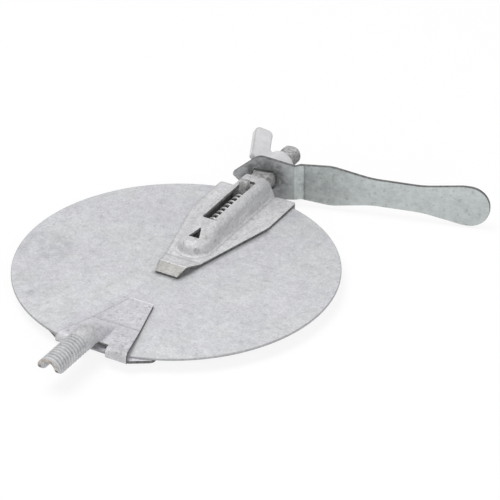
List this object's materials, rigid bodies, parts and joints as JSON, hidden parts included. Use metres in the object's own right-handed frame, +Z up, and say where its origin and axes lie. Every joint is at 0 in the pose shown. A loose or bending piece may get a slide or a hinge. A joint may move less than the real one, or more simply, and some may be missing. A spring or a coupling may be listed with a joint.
{
  "type": "duct damper",
  "caption": "Round sheet damper blade with a spring-loaded shaft regulator, lever handle and wing nut, and a threaded half-tube end bearing.",
  "frame": {"origin": "middle of the pivot line, 3.9 mm above the middle of the blade's top face", "axes": "+Y along the drive shaft, out to the handle; +Z up from the blade's face that carries the tunnel; +X to the side that the handle's arm points to"},
  "size_m": [0.1167, 0.1426, 0.017],
  "materials": {
    "blade_sheet": "galvanized sheet, fine spangle",
    "clip_sheet": "stamped galvanized sheet",
    "shaft_casting": "rough die casting, zinc grey",
    "spring_wire": "drawn spring wire",
    "handle_sheet": "smooth zinc-plated sheet, greenish grey",
    "nut_casting": "smooth die casting, pale grey"
  },
  "bodies": {
    "blade_assembly": {"blade": "blade_sheet", "regulator_clip": "clip_sheet", "end_bearing": "clip_sheet", "return_spring": "spring_wire"},
    "shaft": {"drive_shaft": "shaft_casting"},
    "lever": {"handle": "handle_sheet"},
    "nut": {"wing_nut": "nut_casting"}
  },
  "joints": [
    {"name": "shaft_slide", "type": "slide", "parent": "blade_assembly", "child": "shaft", "axis": [0, 1, 0], "range_m": [-0.0009, 0.0022], "stiffness_N_per_m": 2600, "deforming": ["return_spring"]},
    {"name": "handle_slide", "type": "slide", "parent": "shaft", "child": "lever", "axis": [0, 1, 0], "range_m": [0, 0.00159]},
    {"name": "nut_spin", "type": "hinge", "parent": "lever", "child": "nut", "pos_m": [0, 0.0547, 0], "axis": [0, 1, 0], "range_deg": [0, 455]}
  ],
  "couplings": [
    {"joint": "nut_spin", "follows": "handle_slide", "rad_per_m": 4947.4}
  ]
}
